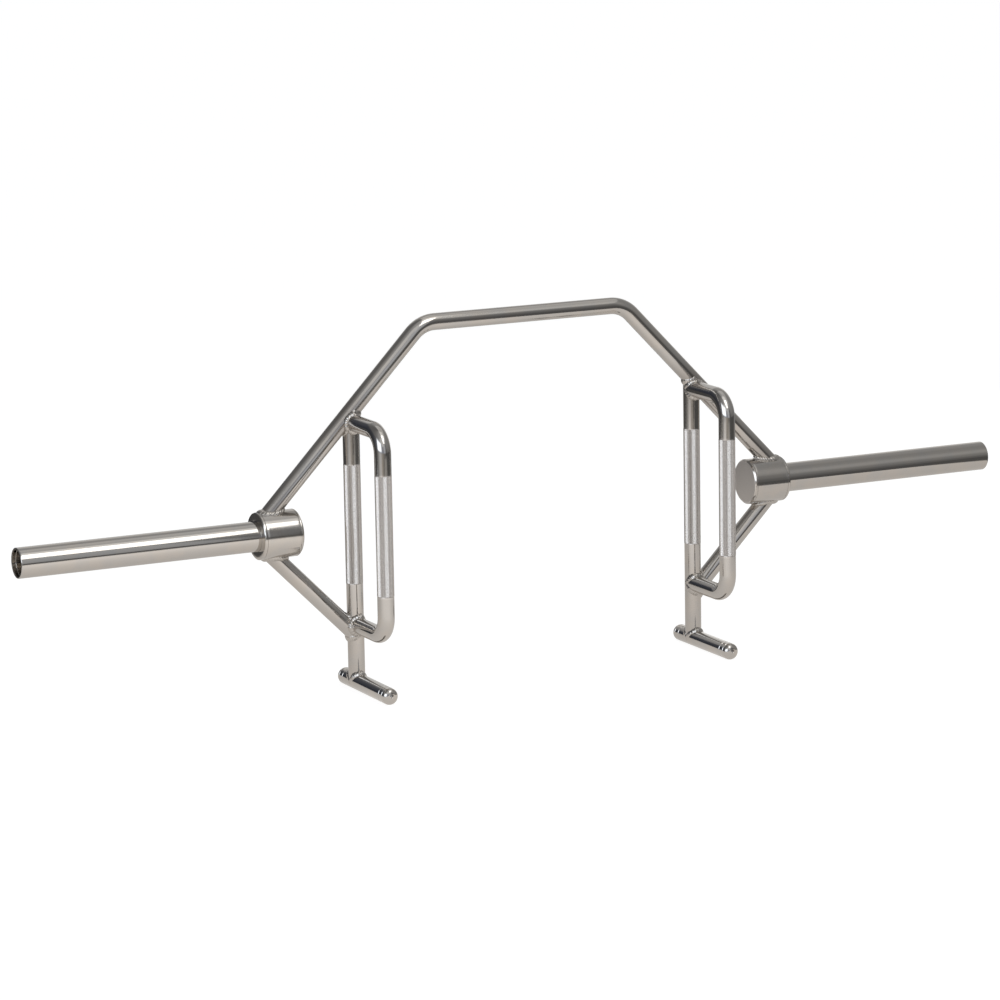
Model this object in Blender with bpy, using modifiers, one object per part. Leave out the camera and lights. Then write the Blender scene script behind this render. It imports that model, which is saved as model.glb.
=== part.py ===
"""Open-ended trap bar with two levels of handles, standing feet and turning sleeves.

Units are metres and +Z is up. +X runs along the sleeves to the viewer's right, and -Y is the side
of the raised grips. The bar stands on its two feet, the way it is loaded with plates, and the
origin lies on the floor under the middle of its outline.
"""
import math

import bmesh
import bpy
from mathutils import Vector

# Clearances
JOINT_GAP = 0.0003
RUNNING_GAP = 0.0002

# Facets of round pieces, and how finely bends and rounded ends are divided
BAR_FACETS = 24
HUB_FACETS = 40
OPENING_FACETS = 8
BEND_STEP = math.radians(9)
FOOT_END_STEPS = 4

# Points closer than this are one point, and faces that meet flatter than this shade as one
SAME_POINT = 0.00001
SMOOTH_ANGLE = math.radians(30)

# Heights of the frame, each measured from the one before it, the first from the floor
LOWER_ARM_HEIGHT = 0.110
SLEEVE_ABOVE_LOWER_ARM = 0.166
GRIP_HEIGHT = 0.339
LEG_ABOVE_UPPER_ARM = 0.0175
BRACE_BELOW_LOWER_ARM = 0.0165

# Posts, which carry the low handles
POST_DIAMETER = 0.028
POST_SPACING = 0.637
KNURL_LENGTH = 0.200
KNURL_RISE = 0.00015
KNURL_RUNOUT = 0.0005

# Raised grips
GRIP_DIAMETER = 0.028
GRIP_REACH = 0.122
GRIP_BEND_RADIUS = 0.036

# Feet, turned from bar
FOOT_DIAMETER = 0.028
FOOT_FRONT_REACH = 0.138
FOOT_BACK_REACH = 0.054
FOOT_END_ROUNDING = 0.0095
FOOT_END_CROWN = 0.001
FOOT_GROOVE_COUNT = 2
FOOT_GROOVE_WIDTH = 0.0020
FOOT_GROOVE_DEPTH = 0.0009
FOOT_GROOVE_INSET = 0.0118
FOOT_GROOVE_PITCH = 0.0117

# Bow, one bar over the lifter's bay
BOW_DIAMETER = 0.028
BOW_CORNER_SPACING = 0.375
BOW_BEND_RADIUS = 0.055

# Braces between the hubs and the posts
BRACE_DIAMETER = 0.028

# Hubs, the drums that carry the sleeves
HUB_CLEAR_OF_POST = 0.1035
HUB_LENGTH = 0.070
HUB_WALL = 0.006
END_PLATE_THICKNESS = 0.005
INNER_PLATE_CHAMFER = 0.0028
OUTER_PLATE_CHAMFER = 0.0014
END_PLATE_SPIGOT = 0.002
LEG_LANDING_OUTBOARD = 0.0075
BRACE_LANDING_OUTBOARD = 0.003

# Bushes and the parts that hold a sleeve in its hub
BUSH_WALL = 0.0075
BUSH_LENGTH = 0.018
THRUST_PAD_THICKNESS = 0.002
THRUST_WASHER_THICKNESS = 0.002
RETAINER_THICKNESS = 0.002
RETAINER_DEPTH = 0.0045
RETAINER_GROOVE_DEPTH = 0.0015
RETAINER_SHOULDER = 0.003
RETAINER_OPENING = 0.010

# Sleeves, which take the plates
SLEEVE_DIAMETER = 0.050
SLEEVE_WALL = 0.0035
SLEEVE_LOADING_LENGTH = 0.412
SLEEVE_CHAMFER = 0.0008
MOUTH_RECESS_DEPTH = 0.007
MOUTH_RECESS_STEP = 0.0010

# Places worked out from the sizes above
SLEEVE_HEIGHT = LOWER_ARM_HEIGHT + SLEEVE_ABOVE_LOWER_ARM
UPPER_ARM_HEIGHT = LOWER_ARM_HEIGHT + GRIP_HEIGHT
GRIP_MIDDLE_HEIGHT = (LOWER_ARM_HEIGHT + UPPER_ARM_HEIGHT) / 2
POST_TOP_HEIGHT = UPPER_ARM_HEIGHT + LEG_ABOVE_UPPER_ARM
BRACE_FOOT_HEIGHT = LOWER_ARM_HEIGHT - BRACE_BELOW_LOWER_ARM
FOOT_HEIGHT = FOOT_DIAMETER / 2
POST_X = POST_SPACING / 2
BOW_CORNER_X = BOW_CORNER_SPACING / 2

SLEEVE_RADIUS = SLEEVE_DIAMETER / 2
BUSH_BORE_RADIUS = SLEEVE_RADIUS + RUNNING_GAP
BUSH_RADIUS = BUSH_BORE_RADIUS + BUSH_WALL
HUB_BORE_RADIUS = BUSH_RADIUS + JOINT_GAP
HUB_RADIUS = HUB_BORE_RADIUS + HUB_WALL

HUB_INNER_X = POST_X + HUB_CLEAR_OF_POST
HUB_MIDDLE_X = HUB_INNER_X + HUB_LENGTH / 2
LEG_LANDING_X = HUB_MIDDLE_X + LEG_LANDING_OUTBOARD
BRACE_LANDING_X = HUB_MIDDLE_X + BRACE_LANDING_OUTBOARD
LEG_SLOPE = (POST_TOP_HEIGHT - SLEEVE_HEIGHT - HUB_RADIUS) / (LEG_LANDING_X - POST_X)
BRACE_SLOPE = (SLEEVE_HEIGHT - HUB_RADIUS - BRACE_FOOT_HEIGHT) / (BRACE_LANDING_X - POST_X)
BOW_TOP_HEIGHT = POST_TOP_HEIGHT + LEG_SLOPE * (POST_X - BOW_CORNER_X)
LEG_END_X = LEG_LANDING_X + HUB_RADIUS / LEG_SLOPE
BRACE_END_X = BRACE_LANDING_X + HUB_RADIUS / BRACE_SLOPE

# Along a hub's axis, from its inner face outwards
SHELL_START = END_PLATE_THICKNESS + JOINT_GAP
SHELL_END = HUB_LENGTH - END_PLATE_THICKNESS - JOINT_GAP
SPIGOT_END = END_PLATE_THICKNESS + END_PLATE_SPIGOT
PAD_START = SPIGOT_END + JOINT_GAP
PAD_END = PAD_START + THRUST_PAD_THICKNESS
SLEEVE_START = PAD_END + RUNNING_GAP
RETAINER_START = SLEEVE_START + RETAINER_SHOULDER
RETAINER_END = RETAINER_START + RETAINER_THICKNESS
WASHER_START = RETAINER_END + RUNNING_GAP
WASHER_END = WASHER_START + THRUST_WASHER_THICKNESS
INNER_BUSH_START = WASHER_END + JOINT_GAP
INNER_BUSH_END = INNER_BUSH_START + BUSH_LENGTH
OUTER_SPIGOT_START = HUB_LENGTH - SPIGOT_END
OUTER_BUSH_END = OUTER_SPIGOT_START - JOINT_GAP
OUTER_BUSH_START = OUTER_BUSH_END - BUSH_LENGTH
SLEEVE_END = HUB_LENGTH + SLEEVE_LOADING_LENGTH

FRONT_REACH = max(FOOT_FRONT_REACH, GRIP_REACH + GRIP_DIAMETER / 2)
BACK_REACH = max(FOOT_BACK_REACH, HUB_RADIUS)
FRAME_Y = (FRONT_REACH - BACK_REACH) / 2

SIDES = (("left", -1), ("right", 1))


def clear_scene():
    """Start from an empty scene."""
    for item in list(bpy.data.objects):
        bpy.data.objects.remove(item, do_unlink=True)


def new_collection(name):
    group = bpy.data.collections.new(name)
    bpy.context.scene.collection.children.link(group)
    return group


def new_material(name, colour, metallic, roughness):
    material = bpy.data.materials.new(name)
    material.use_nodes = True
    shader = material.node_tree.nodes["Principled BSDF"]
    shader.inputs["Base Color"].default_value = (*colour, 1.0)
    shader.inputs["Metallic"].default_value = metallic
    shader.inputs["Roughness"].default_value = roughness
    return material


def add_object(name, mesh, material):
    """Link a mesh as one named piece, carried by the frame's empty."""
    item = bpy.data.objects.new(name, mesh)
    pieces.objects.link(item)
    item.parent = bar_frame
    mesh.materials.clear()
    mesh.materials.append(material)
    return item


def smooth(mesh):
    mesh.shade_smooth()
    mesh.set_sharp_from_angle(angle=SMOOTH_ANGLE)


def rounded_path(corners, bend_radius):
    """A path through corner points with each inner corner bent to an arc of the given radius."""
    corners = [Vector(corner) for corner in corners]
    path = [corners[0]]
    for before, corner, after in zip(corners, corners[1:], corners[2:]):
        towards_before = (before - corner).normalized()
        towards_after = (after - corner).normalized()
        half_angle = towards_before.angle(towards_after) / 2
        middle = (towards_before + towards_after).normalized()
        centre = corner + middle * (bend_radius / math.sin(half_angle))
        start = corner + towards_before * (bend_radius / math.tan(half_angle)) - centre
        end = corner + towards_after * (bend_radius / math.tan(half_angle)) - centre
        turn = math.pi - 2 * half_angle
        steps = max(2, round(turn / BEND_STEP))
        for step in range(steps + 1):
            part = turn * step / steps
            weight_start = math.sin(turn - part) / math.sin(turn)
            weight_end = math.sin(part) / math.sin(turn)
            path.append(centre + start * weight_start + end * weight_end)
    path.append(corners[-1])
    return path


def swept_mesh(name, path, diameter, widen=None):
    """A round bar along a path, as a closed mesh. widen holds a factor for each point."""
    curve = bpy.data.curves.new(name, "CURVE")
    curve.dimensions = "3D"
    curve.bevel_depth = diameter / 2
    curve.bevel_resolution = (BAR_FACETS - 4) // 2
    curve.use_fill_caps = True
    spline = curve.splines.new("POLY")
    spline.points.add(len(path) - 1)
    for index, place in enumerate(path):
        spline.points[index].co = (*place, 1.0)
        spline.points[index].radius = widen[index] if widen else 1.0
    guide = bpy.data.objects.new(name + "_path", curve)
    pieces.objects.link(guide)
    depsgraph = bpy.context.evaluated_depsgraph_get()
    mesh = bpy.data.meshes.new_from_object(guide.evaluated_get(depsgraph))
    bpy.data.objects.remove(guide, do_unlink=True)
    bpy.data.curves.remove(curve)
    welded = bmesh.new()
    welded.from_mesh(mesh)
    bmesh.ops.remove_doubles(welded, verts=welded.verts, dist=SAME_POINT)
    bmesh.ops.recalc_face_normals(welded, faces=welded.faces)
    welded.to_mesh(mesh)
    welded.free()
    mesh.name = name
    smooth(mesh)
    return mesh


def add_knurl(path):
    """Put a raised band of knurling in the path's vertical run, and give each point's factor."""
    low = GRIP_MIDDLE_HEIGHT - KNURL_LENGTH / 2
    high = GRIP_MIDDLE_HEIGHT + KNURL_LENGTH / 2
    marks = ((low, False), (low + KNURL_RUNOUT, True), (high - KNURL_RUNOUT, True), (high, False))
    for index, (start, end) in enumerate(zip(path, path[1:])):
        is_upright = (end.xy - start.xy).length < SAME_POINT
        if is_upright and start.z < low and end.z > high:
            band = [Vector((start.x, start.y, height)) for height, _ in marks]
            raised = [is_raised for _, is_raised in marks]
            full_path = path[:index + 1] + band + path[index + 1:]
            before = [False] * (index + 1)
            after = [False] * (len(path) - index - 1)
            return full_path, before + raised + after
    return path, [False] * len(path)


def knurled_bar(name, path, diameter):
    full_path, raised = add_knurl(path)
    widen = [1.0 + 2 * KNURL_RISE / diameter if is_raised else 1.0 for is_raised in raised]
    return swept_mesh(name, full_path, diameter, widen)


def turned(name, outline, facets, material, is_ring=False):
    """A lathe piece from (radius, distance along) points, which run down its outer side."""
    mesh = bpy.data.meshes.new(name)
    points = [(radius, 0.0, along) for radius, along in outline]
    edges = [(index, index + 1) for index in range(len(points) - 1)]
    if is_ring:
        edges.append((len(points) - 1, 0))
    mesh.from_pydata(points, edges, [])
    item = add_object(name, mesh, material)
    screw = item.modifiers.new("lathe", "SCREW")
    screw.axis = "Z"
    screw.steps = facets
    screw.render_steps = facets
    screw.use_merge_vertices = True
    screw.merge_threshold = SAME_POINT
    screw.use_smooth_shade = False
    return item


def ring(name, inner_radius, outer_radius, start, end, facets, material):
    outline = [(outer_radius, end), (outer_radius, start), (inner_radius, start), (inner_radius, end)]
    return turned(name, outline, facets, material, is_ring=True)


def put_on_hub_axis(item, side):
    """Point a lathe piece outwards along its sleeve's axis, from the hub's inner face."""
    item.rotation_euler = (0.0, side * math.pi / 2, 0.0)
    item.location = (side * HUB_INNER_X, 0.0, SLEEVE_HEIGHT)
    return item


def cylinder_cutter(name, start, end, radius, facets):
    """A round cutter between two points."""
    start, end = Vector(start), Vector(end)
    mesh = bpy.data.meshes.new(name)
    body = bmesh.new()
    sizes = {"radius1": radius, "radius2": radius, "depth": (end - start).length}
    bmesh.ops.create_cone(body, cap_ends=True, segments=facets, **sizes)
    body.to_mesh(mesh)
    body.free()
    cutter = bpy.data.objects.new(name, mesh)
    cutters.objects.link(cutter)
    cutter.parent = bar_frame
    cutter.location = (start + end) / 2
    cutter.rotation_euler = (end - start).to_track_quat("Z", "X").to_euler()
    cutter.hide_render = True
    cutter.display_type = "WIRE"
    return cutter


def cut(item, cutter):
    boolean = item.modifiers.new("fit_" + cutter.name, "BOOLEAN")
    boolean.operation = "DIFFERENCE"
    boolean.solver = "EXACT"
    boolean.object = cutter


def make_cutters(side_name, side):
    """The space that each welded piece leaves for the pieces it meets."""
    x = side * POST_X
    outer_x = side * (LEG_END_X + HUB_LENGTH)
    leg_start = (side * BOW_CORNER_X, 0.0, BOW_TOP_HEIGHT)
    leg_end = (side * LEG_END_X, 0.0, SLEEVE_HEIGHT)
    brace_top = (side * BRACE_END_X, 0.0, SLEEVE_HEIGHT)
    brace_foot = (x, 0.0, BRACE_FOOT_HEIGHT)
    foot_reach = max(FOOT_FRONT_REACH, FOOT_BACK_REACH)
    foot_front, foot_back = (x, -foot_reach, FOOT_HEIGHT), (x, foot_reach, FOOT_HEIGHT)
    spaces = {
        "hub": ((x, 0.0, SLEEVE_HEIGHT), (outer_x, 0.0, SLEEVE_HEIGHT), HUB_RADIUS, HUB_FACETS),
        "leg": (leg_start, leg_end, BOW_DIAMETER / 2, BAR_FACETS),
        "post": ((x, 0.0, 0.0), (x, 0.0, POST_TOP_HEIGHT), POST_DIAMETER / 2, BAR_FACETS),
        "brace": (brace_foot, brace_top, BRACE_DIAMETER / 2, BAR_FACETS),
        "foot": (foot_front, foot_back, FOOT_DIAMETER / 2, BAR_FACETS),
    }
    made = {}
    for what, (start, end, radius, facets) in spaces.items():
        name = side_name + "_" + what + "_space"
        made[what] = cylinder_cutter(name, start, end, radius + JOINT_GAP, facets)
    return made


def make_bow(spaces):
    """One bar over the lifter's bay, bent twice, with its ends coped to the hubs."""
    corners = [
        (-LEG_END_X, 0.0, SLEEVE_HEIGHT),
        (-BOW_CORNER_X, 0.0, BOW_TOP_HEIGHT),
        (BOW_CORNER_X, 0.0, BOW_TOP_HEIGHT),
        (LEG_END_X, 0.0, SLEEVE_HEIGHT),
    ]
    path = rounded_path(corners, BOW_BEND_RADIUS)
    bow = add_object("bow_tube", swept_mesh("bow_tube", path, BOW_DIAMETER), steel)
    for side_name, _ in SIDES:
        cut(bow, spaces[side_name]["hub"])


def make_post(side_name, side, space):
    """The upright low handle, from its foot to the underside of the bow."""
    name = side_name + "_post"
    x = side * POST_X
    path = [Vector((x, 0.0, FOOT_HEIGHT)), Vector((x, 0.0, POST_TOP_HEIGHT))]
    post = add_object(name, knurled_bar(name, path, POST_DIAMETER), steel)
    cut(post, space["leg"])
    cut(post, space["foot"])


def make_grip(side_name, side, space):
    """The raised grip, a bar bent twice, with both ends coped to the post."""
    name = side_name + "_raised_grip"
    x = side * POST_X
    corners = [
        (x, 0.0, LOWER_ARM_HEIGHT),
        (x, -GRIP_REACH, LOWER_ARM_HEIGHT),
        (x, -GRIP_REACH, UPPER_ARM_HEIGHT),
        (x, 0.0, UPPER_ARM_HEIGHT),
    ]
    path = rounded_path(corners, GRIP_BEND_RADIUS)
    grip = add_object(name, knurled_bar(name, path, GRIP_DIAMETER), steel)
    for what in ("post", "leg", "brace"):
        cut(grip, space[what])


def make_brace(side_name, side, space):
    """The straight bar from the underside of a hub to the post."""
    name = side_name + "_brace"
    foot, top = (side * POST_X, 0.0, BRACE_FOOT_HEIGHT), (side * BRACE_END_X, 0.0, SLEEVE_HEIGHT)
    brace = add_object(name, swept_mesh(name, [Vector(foot), Vector(top)], BRACE_DIAMETER), steel)
    for what in ("post", "hub"):
        cut(brace, space[what])


def foot_end(reach):
    """One end of a foot's outline: its crowned and rounded tip, then two turned grooves."""
    radius = FOOT_DIAMETER / 2
    flat_radius = radius - FOOT_END_ROUNDING
    shoulder = reach - FOOT_END_CROWN - FOOT_END_ROUNDING
    outline = [(0.0, reach)]
    for step in range(FOOT_END_STEPS + 1):
        turn = math.pi / 2 * (1 - step / FOOT_END_STEPS)
        edge_radius = flat_radius + FOOT_END_ROUNDING * math.cos(turn)
        outline.append((edge_radius, shoulder + FOOT_END_ROUNDING * math.sin(turn)))
    for groove in range(FOOT_GROOVE_COUNT):
        edge = reach - FOOT_GROOVE_INSET - groove * FOOT_GROOVE_PITCH
        outline.append((radius, edge))
        outline.append((radius - FOOT_GROOVE_DEPTH, edge - FOOT_GROOVE_WIDTH / 2))
        outline.append((radius, edge - FOOT_GROOVE_WIDTH))
    return outline


def make_foot(side_name, side):
    """A foot turned from one bar, which lies along Y under its post."""
    front = foot_end(FOOT_FRONT_REACH)
    back = [(radius, -along) for radius, along in reversed(foot_end(FOOT_BACK_REACH))]
    foot = turned(side_name + "_foot_bar", front + back, BAR_FACETS, steel)
    foot.rotation_euler = (math.pi / 2, 0.0, 0.0)
    foot.location = (side * POST_X, 0.0, FOOT_HEIGHT)


def make_hub(side_name, side):
    """The drum: a shell, and the end plates that close it and stop the plates."""
    name = side_name + "_hub_shell"
    shell = ring(name, HUB_BORE_RADIUS, HUB_RADIUS, SHELL_START, SHELL_END, HUB_FACETS, steel)
    spigot_radius = HUB_BORE_RADIUS - JOINT_GAP
    inner_outline = [
        (0.0, SPIGOT_END),
        (spigot_radius, SPIGOT_END),
        (spigot_radius, END_PLATE_THICKNESS),
        (HUB_RADIUS, END_PLATE_THICKNESS),
        (HUB_RADIUS, INNER_PLATE_CHAMFER),
        (HUB_RADIUS - INNER_PLATE_CHAMFER, 0.0),
        (0.0, 0.0),
    ]
    inner_plate = turned(side_name + "_hub_inner_plate", inner_outline, HUB_FACETS, steel)
    bore = SLEEVE_RADIUS + RUNNING_GAP
    outer_outline = [
        (HUB_RADIUS - OUTER_PLATE_CHAMFER, HUB_LENGTH),
        (HUB_RADIUS, HUB_LENGTH - OUTER_PLATE_CHAMFER),
        (HUB_RADIUS, HUB_LENGTH - END_PLATE_THICKNESS),
        (spigot_radius, HUB_LENGTH - END_PLATE_THICKNESS),
        (spigot_radius, OUTER_SPIGOT_START),
        (bore, OUTER_SPIGOT_START),
        (bore, HUB_LENGTH),
    ]
    outer_plate = turned(side_name + "_hub_outer_plate", outer_outline, HUB_FACETS, steel, is_ring=True)
    for item in (shell, inner_plate, outer_plate):
        put_on_hub_axis(item, side)


def make_bearings(side_name, side):
    """Two bronze bushes, the thrust washer and the thrust pad, which stay in the hub."""
    bushes = (("inner", INNER_BUSH_START, INNER_BUSH_END), ("outer", OUTER_BUSH_START, OUTER_BUSH_END))
    for place, start, end in bushes:
        name = side_name + "_" + place + "_bush"
        put_on_hub_axis(ring(name, BUSH_BORE_RADIUS, BUSH_RADIUS, start, end, HUB_FACETS, bronze), side)
    name = side_name + "_thrust_washer"
    washer = ring(name, BUSH_BORE_RADIUS, BUSH_RADIUS, WASHER_START, WASHER_END, HUB_FACETS, bronze)
    put_on_hub_axis(washer, side)
    pad_outline = [(0.0, PAD_END), (SLEEVE_RADIUS, PAD_END), (SLEEVE_RADIUS, PAD_START), (0.0, PAD_START)]
    put_on_hub_axis(turned(side_name + "_thrust_pad", pad_outline, HUB_FACETS, plastic), side)


def make_sleeve(side_name, side):
    """The open plate tube, with a recessed mouth and a groove for its retaining ring."""
    bore = SLEEVE_RADIUS - SLEEVE_WALL
    recess = bore + MOUTH_RECESS_STEP
    recess_floor = SLEEVE_END - MOUTH_RECESS_DEPTH
    groove_radius = SLEEVE_RADIUS - RETAINER_GROOVE_DEPTH
    outline = [
        (SLEEVE_RADIUS - SLEEVE_CHAMFER, SLEEVE_END),
        (SLEEVE_RADIUS, SLEEVE_END - SLEEVE_CHAMFER),
        (SLEEVE_RADIUS, RETAINER_END + JOINT_GAP),
        (groove_radius, RETAINER_END + JOINT_GAP),
        (groove_radius, RETAINER_START - JOINT_GAP),
        (SLEEVE_RADIUS, RETAINER_START - JOINT_GAP),
        (SLEEVE_RADIUS, SLEEVE_START),
        (bore, SLEEVE_START),
        (bore, recess_floor),
        (recess, recess_floor),
        (recess, SLEEVE_END),
    ]
    put_on_hub_axis(turned(side_name + "_sleeve", outline, HUB_FACETS, steel, is_ring=True), side)


def make_retaining_ring(side_name, side):
    """The spring ring in the sleeve's groove, open on one side so that it can be sprung on."""
    inner_radius = SLEEVE_RADIUS - RETAINER_GROOVE_DEPTH + JOINT_GAP
    outer_radius = inner_radius + RETAINER_DEPTH
    name = side_name + "_retaining_ring"
    retainer = ring(name, inner_radius, outer_radius, RETAINER_START, RETAINER_END, HUB_FACETS, spring_steel)
    put_on_hub_axis(retainer, side)
    x = side * (HUB_INNER_X + (RETAINER_START + RETAINER_END) / 2)
    top = SLEEVE_HEIGHT + HUB_RADIUS
    start, end = (x, 0.0, SLEEVE_HEIGHT), (x, 0.0, top)
    cut(retainer, cylinder_cutter(name + "_opening", start, end, RETAINER_OPENING / 2, OPENING_FACETS))


clear_scene()
pieces = new_collection("open_trap_bar")
cutters = new_collection("cutters")
bar_frame = bpy.data.objects.new("bar_frame", None)
bar_frame.location = (0.0, FRAME_Y, 0.0)
pieces.objects.link(bar_frame)

steel = new_material("polished_steel", (0.72, 0.70, 0.67), 1.0, 0.16)
bronze = new_material("bronze", (0.55, 0.36, 0.17), 1.0, 0.35)
spring_steel = new_material("spring_steel", (0.12, 0.12, 0.13), 1.0, 0.40)
plastic = new_material("thrust_plastic", (0.80, 0.78, 0.70), 0.0, 0.45)

side_spaces = {side_name: make_cutters(side_name, side) for side_name, side in SIDES}
make_bow(side_spaces)
for side_name, side in SIDES:
    make_post(side_name, side, side_spaces[side_name])
    make_grip(side_name, side, side_spaces[side_name])
    make_brace(side_name, side, side_spaces[side_name])
    make_foot(side_name, side)
    make_hub(side_name, side)
    make_bearings(side_name, side)
    make_sleeve(side_name, side)
    make_retaining_ring(side_name, side)
bpy.context.view_layer.update()
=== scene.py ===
"""Looks of the open-ended trap bar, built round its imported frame.

Metres, +Z up. +X runs along the sleeves to the viewer's right and -Y is the side of the raised grips.
"""
import bisect
import math

import bmesh
import bpy
from mathutils import Matrix, Vector, kdtree


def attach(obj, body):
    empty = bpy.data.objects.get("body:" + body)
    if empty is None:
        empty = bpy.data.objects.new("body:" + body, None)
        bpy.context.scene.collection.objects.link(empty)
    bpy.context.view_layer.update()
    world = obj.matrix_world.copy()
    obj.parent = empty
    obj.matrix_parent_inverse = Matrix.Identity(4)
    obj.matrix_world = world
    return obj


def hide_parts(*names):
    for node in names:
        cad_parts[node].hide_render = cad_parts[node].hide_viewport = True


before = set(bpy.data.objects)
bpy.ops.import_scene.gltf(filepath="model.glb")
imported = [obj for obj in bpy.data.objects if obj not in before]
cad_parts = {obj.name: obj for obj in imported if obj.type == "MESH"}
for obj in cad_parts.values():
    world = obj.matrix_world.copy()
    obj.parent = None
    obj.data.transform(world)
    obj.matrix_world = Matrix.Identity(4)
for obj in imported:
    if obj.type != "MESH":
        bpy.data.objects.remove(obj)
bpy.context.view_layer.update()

# The bow: one solid bar of polished steel, bent cold at two corners, that passes over the lifter's bay.
# Its ends are coped to the drums and welded to them, and the posts are welded to its underside.
SIDES = (("left", -1), ("right", 1))
FRAME_Y = 0.042
BAR_RADIUS = 0.014
BAR_COLUMNS = 108
BEND_STEPS = 26
STATION_SPACING = 0.005
COPE_STEPS = 10
SEAM_POINTS = 240
POST_X = 0.3185
POST_TOP = 0.4665
SLEEVE_HEIGHT = 0.276
DRUM_RADIUS = 0.039
DRUM_INNER_X = 0.422
DRUM_LENGTH = 0.070
LEG_LANDING_X = 0.4645
BOW_CORNER_X = 0.1875
BOW_BEND_RADIUS = 0.055
SMOOTH_ANGLE = math.radians(34)
LEAST_SPACING = 0.0002
WAY_REACH = 0.0003
COPE_MARGIN = 0.002
AXIS_REACH = 0.2
GRAZE = 0.00001
leg_slope = (POST_TOP - SLEEVE_HEIGHT - DRUM_RADIUS) / (LEG_LANDING_X - POST_X)
bow_top = POST_TOP + leg_slope * (POST_X - BOW_CORNER_X)
leg_end_x = LEG_LANDING_X + DRUM_RADIUS / leg_slope


def place(side, x, y, z):
    """A point given for the right side, with y counted from the plane of the welded frame."""
    return Vector((side * x, FRAME_Y + y, z))


class Rod:
    """The space of a round bar, from one end of its axis to the other, that other bars are coped to."""

    def __init__(self, start, end, radius):
        self.start, self.radius = start, radius
        self.length = (end - start).length
        self.along = (end - start) / self.length

    def away(self, point):
        """From the axis straight out to a point."""
        gap = point - self.start
        return gap - self.along * gap.dot(self.along)

    def meets(self, origin, direction):
        """Where a line from an origin first meets this bar's surface, or None where it passes by."""
        across = direction - self.along * direction.dot(self.along)
        offset = self.away(origin)
        a, b = across.dot(across), across.dot(offset)
        inside = b * b - a * (offset.dot(offset) - self.radius ** 2)
        if inside < -a * self.radius * GRAZE:
            return None
        point = origin + direction * ((-b - math.sqrt(max(inside, 0.0))) / a)
        return point if 0 <= (point - self.start).dot(self.along) <= self.length else None

    def surface(self, point, depth):
        """The surface's nearest point, or one that deep under it."""
        away = self.away(point)
        return point - away + away.normalized() * (self.radius - depth)


def bent_path(corners, bend_radius):
    """A centreline through corner points, with an arc of the bend radius at each inner corner."""
    path = [corners[0]]
    for before, corner, after in zip(corners, corners[1:], corners[2:]):
        back, onward = (before - corner).normalized(), (after - corner).normalized()
        half = back.angle(onward) / 2
        centre = corner + (back + onward).normalized() * (bend_radius / math.sin(half))
        first = corner + back * (bend_radius / math.tan(half)) - centre
        last = corner + onward * (bend_radius / math.tan(half)) - centre
        turn = math.pi - 2 * half
        for step in range(BEND_STEPS + 1):
            part = turn * step / BEND_STEPS
            path.append(centre + (first * math.sin(turn - part) + last * math.sin(part)) / math.sin(turn))
    path.append(corners[-1])
    return path


def bar_ring(centre, way, sideways, radii):
    """Points round a bar, one for each radius, that start at the sideways direction."""
    other = way.cross(sideways)
    ring = []
    for column, radius in enumerate(radii):
        angle = 2 * math.pi * column / len(radii)
        ring.append(centre + sideways * (radius * math.cos(angle)) + other * (radius * math.sin(angle)))
    return ring


def cope(ring, way, rods):
    """Where each line from a bar's ring first meets one of the bars that it is welded to."""
    met = []
    for start in ring:
        hits = [(rod.meets(start, way), rod) for rod in rods]
        hits = [(point, rod) for point, rod in hits if point is not None]
        met.append(min(hits, key=lambda hit: (hit[0] - start).length))
    return met


def rings_between(first, last):
    """Rings that lead from one ring to another, without the two themselves."""
    shares = [step / COPE_STEPS for step in range(1, COPE_STEPS)]
    return [[a.lerp(b, share) for a, b in zip(first, last)] for share in shares]


def mark_points(mesh, name, values):
    """Store one number for each point of a mesh, for its material to read."""
    mesh.attributes.new(name, "FLOAT", "POINT").data.foreach_set("value", values)


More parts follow.
